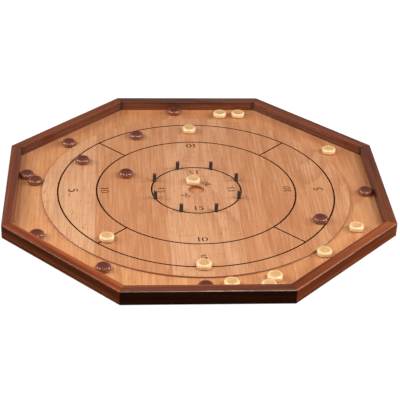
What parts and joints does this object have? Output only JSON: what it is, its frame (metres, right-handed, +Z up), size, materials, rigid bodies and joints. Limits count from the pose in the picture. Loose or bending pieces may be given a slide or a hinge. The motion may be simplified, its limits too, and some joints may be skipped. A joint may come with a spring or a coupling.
{
  "type": "octagonal flicking-disc board game",
  "caption": "Octagonal tabletop board for flicking discs: raised mitred rails, round playing board, centre hole, ring of rubber-sleeved pegs, and lift-off discs.",
  "frame": {"origin": "centre of the board on the surface that the felt pads rest on", "axes": "+Z up, -Y towards the front rail, +X to the right seen from the front"},
  "size_m": [0.832, 0.832, 0.034],
  "materials": {
    "rail_wood": "dark walnut stain, satin lacquer",
    "spline_wood": "bare hardwood",
    "felt": "pressed felt",
    "board_veneer": "warm tan veneer, satin lacquer",
    "peg_wood": "dark stain, gloss lacquer",
    "peg_rubber": "smooth rubber",
    "disc_walnut": "dark walnut, gloss lacquer",
    "disc_maple": "natural maple, gloss lacquer",
    "line_ink": "dark brown paint, matt"
  },
  "bodies": {
    "board": {"rail_right": "rail_wood", "rail_back_right": "rail_wood", "rail_back": "rail_wood", "rail_back_left": "rail_wood", "rail_left": "rail_wood", "rail_front_left": "rail_wood", "rail_front": "rail_wood", "rail_front_right": "rail_wood", "corner_splines": "spline_wood", "foot_pad_1": "felt", "foot_pad_2": "felt", "foot_pad_3": "felt", "foot_pad_4": "felt", "base_panel": "board_veneer", "playing_board": "board_veneer", "peg_pin_1": "peg_wood", "peg_pin_2": "peg_wood", "peg_pin_3": "peg_wood", "peg_pin_4": "peg_wood", "peg_pin_5": "peg_wood", "peg_pin_6": "peg_wood", "peg_pin_7": "peg_wood", "peg_pin_8": "peg_wood", "peg_sleeve_1": "peg_rubber", "peg_sleeve_2": "peg_rubber", "peg_sleeve_3": "peg_rubber", "peg_sleeve_4": "peg_rubber", "peg_sleeve_5": "peg_rubber", "peg_sleeve_6": "peg_rubber", "peg_sleeve_7": "peg_rubber", "peg_sleeve_8": "peg_rubber"},
    "disc_dark_01": {"disc_dark_01": "disc_walnut"},
    "disc_dark_02": {"disc_dark_02": "disc_walnut"},
    "disc_dark_03": {"disc_dark_03": "disc_walnut"},
    "disc_dark_04": {"disc_dark_04": "disc_walnut"},
    "disc_dark_05": {"disc_dark_05": "disc_walnut"},
    "disc_dark_06": {"disc_dark_06": "disc_walnut"},
    "disc_dark_07": {"disc_dark_07": "disc_walnut"},
    "disc_dark_08": {"disc_dark_08": "disc_walnut"},
    "disc_dark_09": {"disc_dark_09": "disc_walnut"},
    "disc_dark_10": {"disc_dark_10": "disc_walnut"},
    "disc_dark_11": {"disc_dark_11": "disc_walnut"},
    "disc_dark_12": {"disc_dark_12": "disc_walnut"},
    "disc_light_01": {"disc_light_01": "disc_maple"},
    "disc_light_02": {"disc_light_02": "disc_maple"},
    "disc_light_03": {"disc_light_03": "disc_maple"},
    "disc_light_04": {"disc_light_04": "disc_maple"},
    "disc_light_05": {"disc_light_05": "disc_maple"},
    "disc_light_06": {"disc_light_06": "disc_maple"},
    "disc_light_07": {"disc_light_07": "disc_maple"},
    "disc_light_08": {"disc_light_08": "disc_maple"},
    "disc_light_09": {"disc_light_09": "disc_maple"},
    "disc_light_10": {"disc_light_10": "disc_maple"},
    "disc_light_11": {"disc_light_11": "disc_maple"},
    "disc_light_12": {"disc_light_12": "disc_maple"}
  },
  "joints": [
    {"name": "lift_disc_dark_01", "type": "slide", "parent": "board", "child": "disc_dark_01", "axis": [0, 0, 1], "range_m": [0, 0.08]},
    {"name": "lift_disc_dark_02", "type": "slide", "parent": "board", "child": "disc_dark_02", "axis": [0, 0, 1], "range_m": [0, 0.08]},
    {"name": "lift_disc_dark_03", "type": "slide", "parent": "board", "child": "disc_dark_03", "axis": [0, 0, 1], "range_m": [0, 0.08]},
    {"name": "lift_disc_dark_04", "type": "slide", "parent": "board", "child": "disc_dark_04", "axis": [0, 0, 1], "range_m": [0, 0.08]},
    {"name": "lift_disc_dark_05", "type": "slide", "parent": "board", "child": "disc_dark_05", "axis": [0, 0, 1], "range_m": [0, 0.08]},
    {"name": "lift_disc_dark_06", "type": "slide", "parent": "board", "child": "disc_dark_06", "axis": [0, 0, 1], "range_m": [0, 0.08]},
    {"name": "lift_disc_dark_07", "type": "slide", "parent": "board", "child": "disc_dark_07", "axis": [0, 0, 1], "range_m": [0, 0.08]},
    {"name": "lift_disc_dark_08", "type": "slide", "parent": "board", "child": "disc_dark_08", "axis": [0, 0, 1], "range_m": [0, 0.08]},
    {"name": "lift_disc_dark_09", "type": "slide", "parent": "board", "child": "disc_dark_09", "axis": [0, 0, 1], "range_m": [0, 0.08]},
    {"name": "lift_disc_dark_10", "type": "slide", "parent": "board", "child": "disc_dark_10", "axis": [0, 0, 1], "range_m": [0, 0.08]},
    {"name": "lift_disc_dark_11", "type": "slide", "parent": "board", "child": "disc_dark_11", "axis": [0, 0, 1], "range_m": [0, 0.08]},
    {"name": "lift_disc_dark_12", "type": "slide", "parent": "board", "child": "disc_dark_12", "axis": [0, 0, 1], "range_m": [0, 0.08]},
    {"name": "lift_disc_light_01", "type": "slide", "parent": "board", "child": "disc_light_01", "axis": [0, 0, 1], "range_m": [0, 0.08]},
    {"name": "lift_disc_light_02", "type": "slide", "parent": "board", "child": "disc_light_02", "axis": [0, 0, 1], "range_m": [0, 0.08]},
    {"name": "lift_disc_light_03", "type": "slide", "parent": "board", "child": "disc_light_03", "axis": [0, 0, 1], "range_m": [0, 0.08]},
    {"name": "lift_disc_light_04", "type": "slide", "parent": "board", "child": "disc_light_04", "axis": [0, 0, 1], "range_m": [0, 0.08]},
    {"name": "lift_disc_light_05", "type": "slide", "parent": "board", "child": "disc_light_05", "axis": [0, 0, 1], "range_m": [0, 0.08]},
    {"name": "lift_disc_light_06", "type": "slide", "parent": "board", "child": "disc_light_06", "axis": [0, 0, 1], "range_m": [0, 0.08]},
    {"name": "lift_disc_light_07", "type": "slide", "parent": "board", "child": "disc_light_07", "axis": [0, 0, 1], "range_m": [0, 0.08]},
    {"name": "lift_disc_light_08", "type": "slide", "parent": "board", "child": "disc_light_08", "axis": [0, 0, 1], "range_m": [0, 0.08]},
    {"name": "lift_disc_light_09", "type": "slide", "parent": "board", "child": "disc_light_09", "axis": [0, 0, 1], "range_m": [0, 0.08]},
    {"name": "lift_disc_light_10", "type": "slide", "parent": "board", "child": "disc_light_10", "axis": [0, 0, 1], "range_m": [0, 0.08]},
    {"name": "lift_disc_light_11", "type": "slide", "parent": "board", "child": "disc_light_11", "axis": [0, 0, 1], "range_m": [0, 0.08]},
    {"name": "lift_disc_light_12", "type": "slide", "parent": "board", "child": "disc_light_12", "axis": [0, 0, 1], "range_m": [0, 0.08]}
  ]
}
